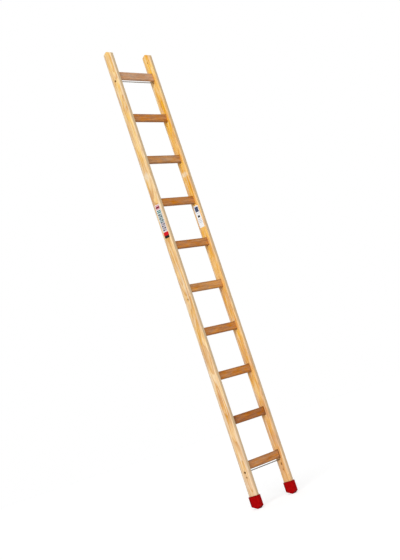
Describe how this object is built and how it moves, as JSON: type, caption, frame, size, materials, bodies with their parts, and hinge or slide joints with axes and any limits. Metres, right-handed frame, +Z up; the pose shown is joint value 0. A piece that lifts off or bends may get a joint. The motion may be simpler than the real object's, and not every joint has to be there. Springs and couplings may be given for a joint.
{
  "type": "wooden ladder",
  "caption": "Wooden leaning ladder: pine stiles joined by flat hardwood rungs, with steel tie rods under the end rungs, moulded red feet and plain labels.",
  "frame": {"origin": "midway between the feet, level with the lowest edge of their soles", "axes": "+Z up along the stiles, +X along the rungs to the climber's right, +Y away from the climber"},
  "size_m": [0.42, 0.0694, 2.939],
  "materials": {
    "pine": "planed and clear varnished",
    "beech": "planed and clear varnished",
    "rod_steel": "zinc plated, gone dull",
    "fastener_steel": "browned and oily",
    "foot_rubber": "moulded, satin",
    "label_film": "printed film"
  },
  "bodies": {
    "root": {"foot_screws": "fastener_steel", "left_foot": "foot_rubber", "left_label": "label_film", "left_stile": "pine", "lower_tie_rod": "rod_steel", "right_foot": "foot_rubber", "right_label": "label_film", "right_stile": "pine", "rung_01": "beech", "rung_02": "beech", "rung_03": "beech", "rung_04": "beech", "rung_05": "beech", "rung_06": "beech", "rung_07": "beech", "rung_08": "beech", "rung_09": "beech", "rung_10": "beech", "tie_rod_nuts": "fastener_steel", "tie_rod_washers": "fastener_steel", "upper_tie_rod": "rod_steel"}
  },
  "joints": []
}
